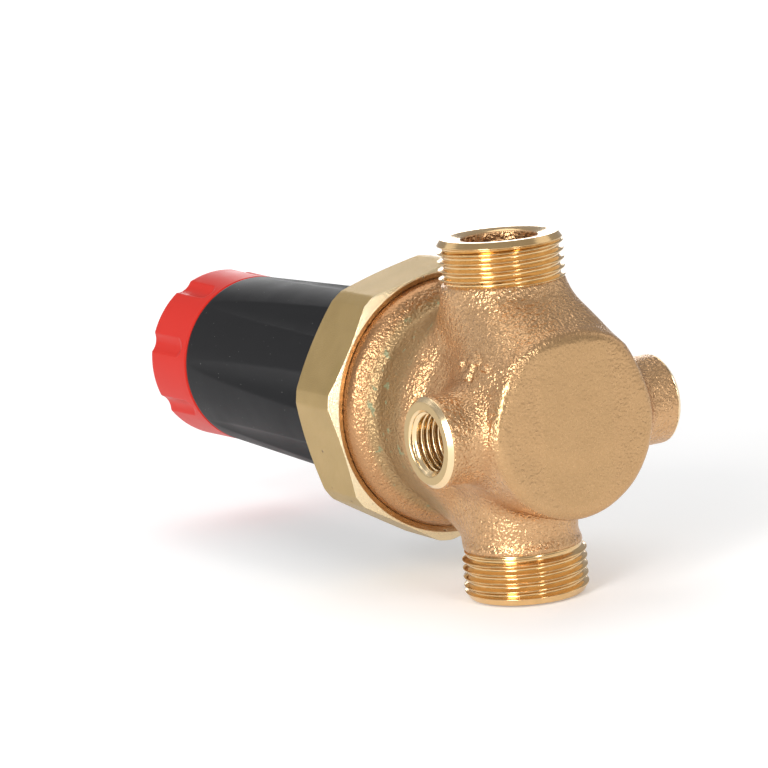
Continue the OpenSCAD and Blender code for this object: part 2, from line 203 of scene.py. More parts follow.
def smooth_min(a, b, k):
    h = np.maximum(k - np.abs(a - b), 0) / k
    return np.minimum(a, b) - h * h * k * 0.25


def smooth_max(a, b, k):
    return -smooth_min(-a, -b, k)


def surface_nets(field, low, high, step):
    """Points and quads of the surface where field(x, y, z) is 0, one point in each crossed cell."""
    axes = [np.arange(low[k], high[k] + step, step) for k in range(3)]
    value = field(*np.meshgrid(*axes, indexing="ij"))
    shape = np.array(value.shape) - 1
    inside = value < 0
    total = np.zeros((*shape, 3))
    count = np.zeros(shape)
    corner = [(i, j, k) for i in (0, 1) for j in (0, 1) for k in (0, 1)]

    def cut(array, c):
        return array[tuple(slice(c[d], c[d] + shape[d]) for d in range(3))]

    for a in corner:
        for d in range(3):
            if a[d] == 0:
                b = tuple(a[m] + (m == d) for m in range(3))
                va, vb = cut(value, a), cut(value, b)
                crossed = cut(inside, a) != cut(inside, b)
                t = np.where(crossed, va / np.where(crossed, va - vb, 1), 0)
                for m in range(3):
                    total[..., m] += np.where(crossed, a[m] + (t if m == d else 0), 0)
                count += crossed
    used = count > 0
    index = np.full(shape, -1)
    index[used] = np.arange(used.sum())
    first = np.array([axis[0] for axis in axes])
    points = (np.argwhere(used) + total[used] / count[used][:, None]) * step + first
    quads = []
    for d in range(3):
        edge = inside != np.roll(inside, -1, axis=d)
        span = [slice(1, -1)] * 3
        span[d] = slice(0, -1)
        keep = np.zeros_like(edge)
        keep[tuple(span)] = edge[tuple(span)]
        at = np.argwhere(keep)
        one, other = np.eye(3, dtype=int)[[(d + 1) % 3, (d + 2) % 3]]
        around = [at - one - other, at - other, at, at - one]
        four = np.stack([index[tuple(c.T)] for c in around], -1)
        outward = ~inside[tuple(at.T)]
        four[outward] = four[outward][:, ::-1]
        quads.append(four)
    quads = np.concatenate(quads)
    return points, quads[(quads >= 0).all(1)]


def settle(points, field, rounds=3, h=0.02):
    """Moves points onto the surface and returns them with their normals."""
    for _ in range(rounds):
        d = field(*points.T)
        g = gradient(points, field, h)
        points = points - (d / np.maximum((g * g).sum(1), 0.2))[:, None] * g
    g = gradient(points, field, h)
    return points, g / np.maximum(np.linalg.norm(g, axis=1), 1e-9)[:, None]


def gradient(points, field, h):
    rises = [field(*(points + e).T) - field(*(points - e).T) for e in np.eye(3) * h]
    return np.stack(rises, -1) / (2 * h)


def set_attribute(obj, name, values):
    attribute = obj.data.attributes.new(name, "FLOAT", "POINT")
    attribute.data.foreach_set("value", np.asarray(values, np.float32))


# ------------------------------------------------------------------ materials


class Nodes:
    """A short way to build a node tree."""

    def __init__(self, name):
        self.material = bpy.data.materials.new(name)
        self.material.use_nodes = True
        self.tree = self.material.node_tree
        self.shader = self.tree.nodes["Principled BSDF"]

    def add(self, kind, inputs=None, **settings):
        node = self.tree.nodes.new(kind)
        for key, value in settings.items():
            setattr(node, key, value)
        for key, value in (inputs or {}).items():
            self.put(node.inputs[key], value)
        return node

    def put(self, socket, value):
        if isinstance(value, bpy.types.NodeSocket):
            self.tree.links.new(value, socket)
        else:
            socket.default_value = value

    def set(self, **values):
        for key, value in values.items():
            self.put(self.shader.inputs[key.replace("_", " ")], value)

    def place(self, scale=(1, 1, 1)):
        """Object coordinates in millimetres, stretched by scale."""
        coordinates = self.add("ShaderNodeTexCoord").outputs["Object"]
        inputs = {0: coordinates, 1: [1000 * s for s in scale]}
        return self.add("ShaderNodeVectorMath", inputs, operation="MULTIPLY").outputs[0]

    def noise(self, place, scale, detail=2.0, rough=0.5):
        inputs = {"Vector": place, "Scale": scale, "Detail": detail, "Roughness": rough}
        return self.add("ShaderNodeTexNoise", inputs).outputs["Fac"]

    def voronoi(self, place, scale):
        return self.add("ShaderNodeTexVoronoi", {"Vector": place, "Scale": scale}).outputs["Distance"]

    def ramp(self, value, low, high, out_low=0.0, out_high=1.0):
        inputs = {"Value": value, "From Min": low, "From Max": high, "To Min": out_low, "To Max": out_high}
        return self.add("ShaderNodeMapRange", inputs).outputs["Result"]

    def math(self, operation, a, b=0.0):
        return self.add("ShaderNodeMath", {0: a, 1: b}, operation=operation).outputs[0]

    def mix(self, factor, a, b):
        node = self.add("ShaderNodeMix", data_type="RGBA")
        for socket, value in ((node.inputs[0], factor), (node.inputs[6], a), (node.inputs[7], b)):
            self.put(socket, value)
        return node.outputs[2]

    def attribute(self, name):
        return self.add("ShaderNodeAttribute", attribute_name=name).outputs["Fac"]

    def bump(self, height, distance, strength):
        inputs = {"Height": height, "Distance": distance, "Strength": strength}
        return self.add("ShaderNodeBump", inputs).outputs["Normal"]


def colour(r, g, b):
    return (r, g, b, 1.0)


def cast_bronze():
    """Sand-cast gunmetal. The mesh says where it is hollow, which is painted a darker copper red: partly the
    metal's own tone, partly painted shade in fillets, bores and the rim's front. It also says where it has
    patina, or is calm (smooth).
    """
    m = Nodes("cast_bronze")
    at = m.place()
    patches = m.noise(at, 0.12, 4, 0.6)
    grain = m.noise(at, 2.2, 3, 0.6)
    fine = m.noise(at, 6.0, 2, 0.6)
    peel = m.noise(at, 0.8, 1, 0.5)
    hollow_copper_shade = m.attribute("hollow_copper_shade")
    patina = m.attribute("patina")
    calm = m.attribute("calm")
    tone = m.mix(m.ramp(patches, 0.35, 0.65), colour(0.59, 0.355, 0.180), colour(0.69, 0.422, 0.216))
    tone = m.mix(m.ramp(grain, 0.40, 0.68, 0.0, 0.45), tone, colour(0.45, 0.245, 0.105))
    # pale gold flecks in the tone: painted glints
    tone = m.mix(m.ramp(fine, 0.58, 0.80, 0.0, 0.5), tone, colour(0.95, 0.72, 0.48))
    # darker copper red where hollow: partly the metal's own tone, partly painted shade
    tone = m.mix(m.ramp(hollow_copper_shade, 0.0, 1.0, 0.0, 0.85), tone, colour(0.40, 0.195, 0.085))
    tone = m.mix(m.math("MULTIPLY", patina, 0.75), tone, colour(0.34, 0.235, 0.115))
    # a darker, yellower tone on the calm parts, away from hollows
    calm_tint = m.math("MULTIPLY", calm, m.ramp(hollow_copper_shade, 0.0, 0.6, 0.7, 0.0))
    tone = m.mix(calm_tint, tone, colour(0.50, 0.312, 0.148))
    spots = m.math("MULTIPLY", m.ramp(m.noise(at, 0.40, 3, 0.55), 0.62, 0.68), m.ramp(patina, 0.5, 0.9))
    tone = m.mix(m.math("MULTIPLY", spots, 0.6), tone, colour(0.15, 0.24, 0.13))
    rough = m.math("ADD", m.ramp(grain, 0.3, 0.7, 0.23, 0.37), m.math("MULTIPLY", patina, 0.12))
    lumps = m.noise(at, 1.7, 1, 0.4)
    height = m.math("ADD", m.math("MULTIPLY", peel, 0.5), lumps)
    height = m.math("ADD", height, m.math("MULTIPLY", fine, 0.03))
    m.set(Base_Color=tone, Metallic=m.ramp(spots, 0.0, 1.0, 0.95, 0.3), Roughness=rough)
    m.set(Normal=m.bump(height, 0.00034, m.ramp(calm, 0.0, 1.0, 1.0, 0.25)))
    return m.material


def machined_brass(name, line_scale, low=0.14, high=0.26, dull=0.0, bright=0.0):
    """Turned brass with fine tool lines, drawn out along the axes where line_scale is small.
    low and high bound its roughness, and dull and bright shift its tone; bright pales it towards light gold,
    which on the gauge ports is painted highlight."""
    m = Nodes(name)
    at = m.place()
    lines = m.noise(m.place(line_scale), 1.0, 2, 0.6)
    stain = m.noise(at, 0.35, 3, 0.55)
    speck = m.noise(at, 5.0, 2, 0.5)
    tone = m.mix(m.ramp(stain, 0.35, 0.7), colour(0.74, 0.49, 0.225), colour(0.66, 0.42, 0.18))
    tone = m.mix(m.ramp(speck, 0.62, 0.75, 0.0, 0.35), tone, colour(0.38, 0.21, 0.08))
    tone = m.mix(dull, tone, colour(0.53, 0.40, 0.21))
    # paler light gold: a tone shift, and on the gauge ports painted highlight that lifts their shaded insides
    tone = m.mix(bright, tone, colour(0.97, 0.78, 0.50))
    m.set(Base_Color=tone, Metallic=1.0, Roughness=m.ramp(lines, 0.3, 0.7, low, high))
    m.set(Normal=m.bump(lines, 0.00003, 0.7))
    return m.material


def nut_brass(name, low, high, bright):
    """The union nut's brass, with a few small pits. low and high bound its roughness."""
    m = Nodes(name)
    at = m.place()
    grain = m.noise(at, 4.2, 3, 0.6)
    cloud = m.noise(at, 0.16, 3, 0.5)
    few = m.ramp(m.noise(at, 0.35, 2, 0.5), 0.56, 0.62)
    pit = m.math("MULTIPLY", m.ramp(m.voronoi(at, 0.34), 0.07, 0.13, 1.0, 0.0), few)
    tone = m.mix(m.ramp(cloud, 0.3, 0.7), colour(0.475, 0.330, 0.132), colour(0.535, 0.374, 0.158))
    # bright pales the brass towards light gold: on the turned edges partly polished brass, partly painted
    # highlight
    tone = m.mix(bright, tone, colour(0.97, 0.82, 0.55))
    tone = m.mix(m.ramp(grain, 0.5, 0.8, 0.0, 0.35), tone, colour(0.42, 0.29, 0.12))
    tone = m.mix(m.math("MULTIPLY", pit, 0.85), tone, colour(0.16, 0.08, 0.04))
    height = m.math("SUBTRACT", grain, m.math("MULTIPLY", pit, 1.5))
    m.set(Base_Color=tone, Metallic=1.0, Roughness=m.ramp(grain, 0.3, 0.7, low, high))
    m.set(Normal=m.bump(height, 0.00015, 0.8))
    return m.material


def moulded_plastic(name, base, light, rough, dust=0.0, scatter=0.0, shine=0.5):
    """Injection moulded plastic with a fine spark-eroded grain, and a little dust if wanted."""
    m = Nodes(name)
    at = m.place()
    grain = m.noise(at, 4.5, 2, 0.5)
    cloud = m.noise(at, 0.08, 3, 0.5)
    tone = m.mix(m.ramp(cloud, 0.35, 0.7, 0.0, 0.6), base, light)
    if dust:
        specks = m.ramp(m.voronoi(at, 0.62), 0.035, 0.075, dust, 0.0)
        here = m.ramp(m.noise(at, 0.3, 2, 0.5), 0.45, 0.6)
        tone = m.mix(m.math("MULTIPLY", specks, here), tone, colour(0.35, 0.35, 0.33))
    m.set(Base_Color=tone, Roughness=m.ramp(cloud, 0.3, 0.7, rough - 0.04, rough + 0.05))
    m.set(IOR=1.49, Specular_IOR_Level=shine, Normal=m.bump(grain, 0.00003, 0.35))
    if scatter:
        m.set(Subsurface_Weight=scatter, Subsurface_Radius=(0.002, 0.0008, 0.0005))
    return m.material


def rubber():
    m = Nodes("rubber")
    at = m.place()
    grain = m.noise(at, 3.0, 3, 0.6)
    bloom = m.noise(at, 0.3, 3, 0.5)
    tone = m.mix(m.ramp(bloom, 0.4, 0.75, 0.0, 0.5), colour(0.018, 0.018, 0.019), colour(0.05, 0.05, 0.05))
    m.set(Base_Color=tone, Roughness=m.ramp(grain, 0.3, 0.7, 0.5, 0.68))
    m.set(Normal=m.bump(grain, 0.00006, 0.5))
    return m.material


def steel(name, base, low, high, line_scale):
    m = Nodes(name)
    lines = m.noise(m.place(line_scale), 1.0, 3, 0.6)
    cloud = m.noise(m.place(), 0.25, 3, 0.5)
    dark = colour(*(0.7 * c for c in base))
    tone = m.mix(m.ramp(cloud, 0.35, 0.7, 0.0, 0.6), colour(*base), dark)
    m.set(Base_Color=tone, Metallic=1.0, Roughness=m.ramp(lines, 0.3, 0.7, low, high))
    m.set(Normal=m.bump(lines, 0.00002, 0.4))
    return m.material


NEAR_GLOW, NEAR = 0.18, 300.0  # the floor's glow near the valve, and how far that reaches in mm
FAR_GLOW, FAR = 0.75, 1600.0


def pale_floor():
    """A white table top whose far part glows like a lit backdrop."""
    m = Nodes("floor")
    cloud = m.noise(m.place(), 0.01, 2, 0.5)
    away = m.add("ShaderNodeVectorMath", {0: m.place()}, operation="LENGTH").outputs["Value"]
    glow = m.ramp(away, NEAR, FAR, NEAR_GLOW, FAR_GLOW)
    tone = m.mix(cloud, colour(0.93, 0.93, 0.93), colour(0.95, 0.95, 0.95))
    m.set(Base_Color=tone, Roughness=0.9, Emission_Color=tone, Emission_Strength=glow)
    return m.material


CAST = cast_bronze()
PIPE_BRASS = machined_brass("machined_pipe_end", (0.3, 0.3, 5.0), 0.10, 0.20, bright=0.15)
# the port's thread and lip are paled towards light gold: painted highlight in the shaded bore
PORT_BRASS = machined_brass("machined_port", (5.0, 0.4, 0.4), 0.16, 0.28, bright=0.7)
PORT_FACE = machined_brass("machined_port_face", (0.5, 5.0, 5.0), 0.34, 0.46, 0.8)
TURNED_BRASS = machined_brass("turned_brass", (0.4, 5.0, 0.4))
NUT_FLAT = nut_brass("nut_flats", 0.32, 0.44, 0.0)
# turned edges paled towards light gold: partly polished brass, partly painted highlight
NUT_EDGE = nut_brass("nut_turned_edges", 0.12, 0.20, 0.8)
BONNET_BLACK = moulded_plastic(
    "bonnet_plastic", colour(0.010, 0.010, 0.011), colour(0.015, 0.015, 0.016), 0.42, dust=0.8, shine=0.07
)
KNOB_RED = moulded_plastic(
    "knob_plastic", colour(0.55, 0.021, 0.012), colour(0.58, 0.026, 0.016), 0.36, scatter=0.04, shine=0.12
)
IVORY = moulded_plastic("acetal", colour(0.80, 0.77, 0.67), colour(0.86, 0.83, 0.74), 0.42, scatter=0.05)
RUBBER = rubber()
ZINC = steel("zinc_steel", (0.60, 0.61, 0.62), 0.2, 0.34, (0.5, 4.0, 0.5))
SPRING_STEEL = steel("spring_steel", (0.30, 0.31, 0.33), 0.22, 0.38, (1.2, 1.2, 1.2))
STAINLESS = steel("stainless", (0.66, 0.66, 0.65), 0.16, 0.3, (0.5, 5.0, 0.5))


# ------------------------------------------------------------------ the casting


def rod(x, y, z, p, q, rp, rq):
    """Distance, near enough, to a round-ended rod from p to q whose radius goes from rp to rq."""
    p, q = np.array(p, float), np.array(q, float)
    d = q - p
    px, py, pz = x - p[0], y - p[1], z - p[2]
    t = np.clip((px * d[0] + py * d[1] + pz * d[2]) / (d @ d), 0, 1)
    return np.sqrt((px - t * d[0]) ** 2 + (py - t * d[1]) ** 2 + (pz - t * d[2]) ** 2) - (rp + (rq - rp) * t)


def drum(across, along, r, low, high, edge):
    """Distance to a cylinder from low to high with rounded edges, given the distance across its axis."""
    a = across - (r - edge)
    b = np.abs(along - (low + high) / 2) - ((high - low) / 2 - edge)
    return np.minimum(np.maximum(a, b), 0) + np.hypot(np.maximum(a, 0), np.maximum(b, 0)) - edge


def bevelled_drum(across, along, r, low, bevel, k):
    """Distance to a cylinder that starts at low with a softened bevel."""
    slope = 0.73 * (across - r) + 0.68 * (low + bevel - along)
    return smooth_max(smooth_max(across - r, low - along, k), slope, k)


def flare(x, y, z):
    """Distance to the outlet neck's bulk, which runs out over the barrel's ridge in a flat slope."""
    bulk = rod(x, y, z, (0, -1, 25), (0, -12, 8), 11.3, 18.8)
    slope = -0.578 * (y + 25) + 0.816 * (z - 18)
    return smooth_max(bulk, slope, 2.5)


def casting_outside(x, y, z):
    """Distance to the casting's outside, and how deep in a fillet each point is."""
    bonnet_r = np.hypot(x, z)
    pipe_r = np.hypot(x, y)
    barrel = drum(bonnet_r, y, BARREL_R, CAST_CAP_Y, RIM_Y, 2.4)
    shoulder = bevelled_drum(bonnet_r, y, SHOULDER_R, 3.0, 4.6, 2.5)
    rim = bevelled_drum(bonnet_r, y, RIM_R, 19.6, 3.0, 1.4)
    collar = drum(bonnet_r, y, COLLAR_R, 23.5, COLLAR_END, 0.4)
    waist = np.where(z < 0, WAIST_R + (NECK_R - WAIST_R) * fade(-z, 24.5, 27.4), NECK_R)
    neck = np.maximum(pipe_r - waist, np.abs(z) - NECK_END)
    down = rod(x, y, z, (0, 0, -22), (0, -2, -8), 10.5, 12.0)
    web_in = rod(x, y, z, (0, 1, -24), (0, 10, -15), 10.5, 13.5)
    web_out = rod(x, y, z, (0, 0, 24), (0, 8, 12), 11.6, 12.5)
    boss_end = np.where(x < 0, GAUGE_END[-1], GAUGE_END[1]) - BOSS_TOP - 0.02
    boss = np.maximum(np.hypot(y - GAUGE_Y, z) - BOSS_R, np.abs(x) - boss_end)
    web = smooth_min(smooth_min(neck, web_in, 4.0), web_out, 4.0)
    stem = smooth_min(smooth_min(web, down, 3.0), flare(x, y, z), 3.0)
    hard = np.minimum(np.minimum(barrel, rim), np.minimum(stem, boss))
    d = np.maximum(smooth_min(smooth_min(barrel, shoulder, 1.2), rim, 3.0), y - RIM_Y)
    d = smooth_min(d, stem, 3.0)
    d = smooth_max(d, CAST_CAP_Y - y, 1.2)
    d = smooth_min(d, boss, 4.5)
    return np.minimum(d, collar), np.clip((hard - d) / 0.9, 0, 1)


def casting_cavity(x, y, z):
    """Distance to the water spaces and machined bores of the casting."""
    bonnet_r = np.hypot(x, z)
    outlet_chamber = drum(bonnet_r, y, 14.6, -21.5, -5, 0.8)
    low_land = drum(bonnet_r, y, 12.05, -8, 4, 0.1)
    inlet_chamber = drum(bonnet_r, y, 16, -1, 14, 0.6)
    high_land = drum(bonnet_r, y, 16.5, 10, 24, 0.1)
    recess = drum(bonnet_r, y, 22.2, 21, 40, 0.2)
    d = np.minimum(np.minimum(outlet_chamber, low_land), np.minimum(inlet_chamber, high_land))
    d = np.minimum(d, recess)
    bore = rod(x, y, np.abs(z), (0, 0, 26.5), (0, 0, 60), BORE_R, BORE_R)
    d = np.minimum(d, np.maximum(bore, 18.0 - np.abs(z)))
    way_out = rod(x, y, z, (0, -3, 26.5), (0, -11, 14), 5.5, 5.5)
    way_in = rod(x, y, z, (0, 2, -26.5), (0, 7, -13), 6.0, 6.0)
    d = smooth_min(d, np.where(z > 0, way_out, way_in), 1.0)
    gauge_r = np.hypot(y - GAUGE_Y, z)
    port = drum(gauge_r, np.abs(x), 6.9, 15.9, 60, 0.1)
    throat = drum(gauge_r, np.abs(x), 2.6, 12, 20, 0.1)
    return np.minimum(d, np.minimum(port, throat))


ARROW_AT = np.array([-16.4, -13.0, 14.2])  # middle of the raised flow arrow
ARROW_OUT = np.array([-0.91, 0, 0.415])  # outward from the casting there
ARROW_UP = np.array([0.415, 0, 0.91])
ARROW_LENGTH = 6.6
ARROW_HEAD = 3.0
ARROW_HEIGHT = 0.85
DOTS_FROM = np.array([-15.2, -8.8, -11.6])
DOTS_TO = np.array([-15.1, -15.6, -11.7])
DOTS = 4
DOT_HEIGHT = 0.45
PAD_X = -0.2  # middle of the low pad on the barrel's end face
PAD_R = 8.5
PAD_HEIGHT = 0.1


def arrow_mask(x, y, z):
    """1 on the raised flow arrow, which points to the outlet, and on a plain bar each side of it."""
    px, py, pz = x - ARROW_AT[0], y - ARROW_AT[1], z - ARROW_AT[2]
    along = px * ARROW_UP[0] + pz * ARROW_UP[2]
    across = np.abs(py)
    reach = ARROW_LENGTH / 2
    shaft = np.maximum(across - 0.85, np.abs(along + ARROW_HEAD / 2) - reach + ARROW_HEAD / 2)
    tip = np.maximum((along - reach + across * 1.1) / 1.49, reach - ARROW_HEAD - along)
    bars = np.maximum(np.abs(across - 4.6) - 1.1, np.abs(along) - 0.75)
    near = np.abs(px * ARROW_OUT[0] + pz * ARROW_OUT[2]) < 6
    return fade(-np.minimum(np.minimum(shaft, tip), bars), -0.15, 0.25) * near


def dots_mask(x, y, z):
    """1 on a row of small raised dots below the gauge boss."""
    mask = np.zeros_like(x)
    for k in range(DOTS):
        at = DOTS_FROM + (DOTS_TO - DOTS_FROM) * k / (DOTS - 1)
        away = np.sqrt((x - at[0]) ** 2 + (y - at[1]) ** 2 + (z - at[2]) ** 2)
        mask = np.maximum(mask, 1 - fade(away, 0.3, 0.85))
    return mask


def pad_mask(x, y, z):
    """1 on the low pad on the barrel's end face, and 0 away from it."""
    middle = np.abs(x - PAD_X) - PAD_R
    low_end = np.hypot(x - PAD_X, np.minimum(z + 7.8, 0)) - PAD_R
    return fade(-np.maximum(middle, low_end), -0.4, 0.4) * (y < -20)


def casting(x, y, z):
    """Distance to the whole casting, with its raised marks and its cavities."""
    outside, _ = casting_outside(x, y, z)
    outside = outside - ARROW_HEIGHT * arrow_mask(x, y, z) - PAD_HEIGHT * pad_mask(x, y, z)
    outside = outside - DOT_HEIGHT * dots_mask(x, y, z)
    return np.maximum(outside, -casting_cavity(x, y, z))


def rough_skin(points, normals, amount):
    """Sand-cast unevenness, larger than the material's grain."""
    wide = np.array([noise.noise(Vector(p) * 0.22) for p in points])
    close = np.array([noise.noise(Vector(p) * 0.75 + Vector((7, 3, 1))) for p in points])
    return points + normals * ((0.6 * wide + 0.4 * close) * amount)[:, None]


def calm_parts(x, y, z):
    """Where the skin is smooth: the closed end, its pad and the side of the flange's rim."""
    bonnet_r = np.hypot(x, z)
    end_face = fade(-y, 21.5, 23.5) * fade(-bonnet_r, -20.5, -18.5)
    rim_side = fade(y, 20.8, 22.4) * (bonnet_r > 25.4)
    return np.maximum(0.8 * end_face + 0.2 * pad_mask(x, y, z), rim_side)


def make_casting():
    """The body as cast, with its machined collar. The threaded ends and ports are pieces of their own."""
    low = np.array([-GAUGE_END[-1] - 1, CAP_Y - 1, -NECK_END - 1])
    high = np.array([GAUGE_END[1] + 1, COLLAR_END + 1, NECK_END + 1])
    points, quads = surface_nets(casting, low, high, 0.5)
    points, normals = settle(points, casting)
    outside, fillet = casting_outside(*points.T)
    bonnet_r = np.hypot(points[:, 0], points[:, 2])
    machined = (bonnet_r > 12) & (points[:, 1] > RIM_Y - 0.6)
    calm = calm_parts(*points.T)
    points = rough_skin(points, normals, np.where(machined, 0.0, 0.13 - 0.08 * calm))
    y = points[:, 1]
    cavity = fade(-outside, 0.8, 3.0)
    rim_front = fade(bonnet_r, 23.2, 24.6) * (0.6 + 0.4 * fade(y, 21.0, 22.8)) * fade(y, 14.0, 17.0)
    collar = (points[quads].mean(1)[:, 1] > RIM_Y + 0.1).astype(int)
    obj = add_object("valve_body_casting", to_frame_pipe(*points.T), quads, [CAST, TURNED_BRASS], collar)
    # hollow tone: darker copper red, partly the metal's own tone and partly painted shade, in fillets, inner
    # bores and chambers, and along the rim's front by the nut
    set_attribute(obj, "hollow_copper_shade", np.maximum(np.maximum(fillet * 0.4, cavity * 0.8), rim_front))
    set_attribute(obj, "patina", fade(y, 7.0, 11.0) * (1 - fade(bonnet_r, 23.4, 25.0)))
    set_attribute(obj, "calm", calm)
    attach(obj, "housing")
    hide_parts("valve_body")


# ------------------------------------------------------------------ machined ends


def thread_radius(angle, s, root, crest, pitch, hand=1):
    """Radius of a rounded V thread at an angle and height."""
    phase = ((s - hand * pitch * angle / TURN) / pitch) % 1.0
    wave = 1 - np.abs(2 * phase - 1)
    return root + (crest - root) * fade(np.clip(wave * 1.3 - 0.24, 0, 1), -0.12, 1.1)


def roughen_bore(radius, along, rows, sign):
    """Works cast lumps into the given rows of a bore, growing from the mouth inwards."""
    strength = 0.2 * fade(PIPE_END - along[0], 0.6, 1.8)
    for i, a in enumerate(ring_angles(len(radius))[:, 0]):
        for j in rows:
            at = Vector((BORE_R * math.cos(a), BORE_R * math.sin(a), along[0, j] + 90 * sign))
            lump = 0.6 * abs(noise.noise(at * 0.5)) + 0.5 * noise.noise(at * 1.3)
            radius[i, j] -= strength[j] * max(lump + 0.2, 0)


def pipe_end(name, sign):
    """Threaded end of one connection: helical thread, end face, coned mouth and cast bore."""
    columns = 288
    start = NECK_END - 0.25
    thread_s = np.arange(start + 0.3, PIPE_END - 0.3, PIPE_PITCH / 18)
    depth = PIPE_END - thread_s
    r = thread_radius(ring_angles(columns), thread_s + 0.55 * PIPE_PITCH, PIPE_ROOT, PIPE_R, PIPE_PITCH, sign)
    r = PIPE_ROOT + (r - PIPE_ROOT) * fade(thread_s, start + 0.4, start + 1.5)
    r = PIPE_R + (r - PIPE_R) * fade(depth, 1.2, 1.7)
    r = np.minimum(r, 12.25 + 0.65 * depth)
    face = [(12.44, PIPE_END - 0.3), (12.25, PIPE_END), (11.1, PIPE_END), (8.2, PIPE_END - 0.45)]
    face = crisp(face, 0.03, 0.1)
    bore_s = [PIPE_END - 0.6, *np.arange(PIPE_END - 0.8, start + 0.2, -0.3), start]
    bore = [(BORE_R, s) for s in bore_s]
    foot = [(10.0, start), (PIPE_ROOT, start)]
    radius, along = stack_rows([(r, thread_s), np.concatenate([face, bore, foot])], columns)
    bore_from = thread_s.size + len(face)
    bore_to = bore_from + len(bore) - 1
    roughen_bore(radius, along, range(bore_from, bore_to), sign)
    points, quads = turned(radius, along * sign, to_frame_pipe)
    cast_rows = np.zeros(radius.shape, int)
    cast_rows[:, bore_from - 1 : bore_to] = 1
    obj = add_object(name, points, quads, [PIPE_BRASS, CAST], cast_rows.reshape(-1))
    # the cast bore takes the darker copper red of the hollow tone: partly painted shade
    set_attribute(obj, "hollow_copper_shade", np.full(len(points), 0.35))
    set_attribute(obj, "calm", np.full(len(points), 0.5))
    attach(obj, "housing")


def gauge_end(name, sign):
    """Machined face and internal thread of one gauge port."""
    columns = 192
    thread_s = np.arange(0.6, GAUGE_DEPTH - 0.8, GAUGE_PITCH / 16)
    r = thread_radius(ring_angles(columns), -thread_s, GAUGE_CREST, GAUGE_R, GAUGE_PITCH, sign)
    r = GAUGE_CREST + (r - GAUGE_CREST) * fade(GAUGE_DEPTH - 1.2 - thread_s, 0, 1.5)
    r = np.maximum(r, 6.95 - thread_s * 0.95)
    lip = crisp([(9.2, 2.4), (9.3, 1.15), (9.44, BOSS_TOP), (8.5, 0.0), (6.95, 0.0), (6.45, 0.5)])
    end = [(GAUGE_CREST, GAUGE_DEPTH - 0.6), (GAUGE_CREST, GAUGE_DEPTH), (2.8, 13.9), (2.6, 14.1)]
    end += [(7.1, 14.1), (7.1, 2.4)]
    radius, along = stack_rows([lip, (r, thread_s), np.array(end)], columns)

    def place(x, y, s):
        return np.stack([sign * (GAUGE_END[sign] - s), GAUGE_Y + x, HALF + y], -1) * MM

    points, quads = turned(radius, along, place)
    dull = np.zeros(radius.shape, int)
    dull[:, : len(lip)] = lip[:, 1] < 0.05
    # the thread and lip take the paled port brass: painted highlight
    obj = add_object(name, points, quads, [PORT_BRASS, PORT_FACE], dull.reshape(-1))
    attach(obj, "housing")


# ------------------------------------------------------------------ union nut

NUT_FLATS = 57.3
NUT_SIDES = 8
NUT_TURN = math.radians(8.4)
NUT_WEB = 37.0  # inside face of the nut's rear web
NUT_HOLE = 22.3
NUT_TURNED_R = 30.4  # the corners are turned down to this radius
NUT_CREST, NUT_ROOT, NUT_PITCH = 26.1, 27.1, 2.0


def octagon_radius(angle):
    """Radius of an eight-sided prism whose corners are turned down."""
    sector = (angle - NUT_TURN) % (TURN / NUT_SIDES) - TURN / NUT_SIDES / 2
    return smooth_min(NUT_FLATS / 2 / np.cos(sector), NUT_TURNED_R, 0.12)


def make_nut():
    """The union nut: turned-down octagon, rear web with a hole, and an internal thread."""
    columns = NUT_SIDES * 54
    angle = ring_angles(columns)
    front = nut_low[1]
    back = nut_high[1] - front  # from here, lengths count from the nut's front
    web = NUT_WEB - front
    stations = [0, 0.4, 2.4, 13.6, 16.3]
    s = [np.linspace(a, b, n)[:-1] for a, b, n in zip(stations, stations[1:], (5, 22, 20, 26))]
    s = np.concatenate([*s, np.linspace(stations[-1], back, 5)])
    flat = octagon_radius(angle)
    cone = np.minimum(28.35 + s * 1.75, NUT_FLATS / 2 - 0.45 + (back - s) * 1.45)
    outer = smooth_min(flat, cone, 0.1)
    hole = [(24.5, back), (NUT_HOLE + 0.35, back), (NUT_HOLE, back - 0.35), (NUT_HOLE, web)]
    inner = dense_profile([*hole, (NUT_ROOT, web), (NUT_ROOT, 8.5)], 0.8, 0.12)
    inner = inner[np.abs(inner - hole[0]).sum(1).argmin() :]
    thread_s = np.arange(8.2, 1.2, -NUT_PITCH / 14)
    thread = thread_radius(angle, thread_s, NUT_CREST, NUT_ROOT, NUT_PITCH)
    thread = np.maximum(thread, 28.2 - thread_s)
    mouth = crisp([(27.12, 1.15), (27.12, 0.6), (28.25, 0.03), (28.32, 0.0)], 0.02, 0.08)
    radius, along = stack_rows([(outer, s), inner, (thread, thread_s), mouth], columns)
    points, quads = turned(radius, along + front, to_frame_bonnet)
    # the turned edges take the paled brass, partly painted highlight
    bright = np.ones(radius.shape, int)
    bright[:, : s.size] = cone < flat - 0.02
    obj = add_object("union_nut_brass", points, quads, [NUT_FLAT, NUT_EDGE], bright.reshape(-1))
    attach(obj, "housing")
    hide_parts("union_nut")


# ------------------------------------------------------------------ bonnet and knob

BONNET_END_R = 19.7
BONNET_BASE_R = 21.8
BONNET_GROOVE = math.radians(51.25)
KNOB_GROOVE = math.radians(60.7)
GROOVES = 8
BONNET_WALL = 108.0  # inside face of the bonnet's end wall
BONNET_BORE = 16.6
KNOB_EDGE = 1.3  # rounding of the knob's end edge
KNOB_GROOVE_DEPTH = 1.0
KNOB_INSIDE = 127.5  # inside face of the knob's end
SCREW_SEAT = 124.5  # where the lock screw's head sits in the knob
SQUARE_END = 121.5  # bottom of the knob's square hole
KEYWAYS = 4
KEYWAY_DEPTH = 1.6


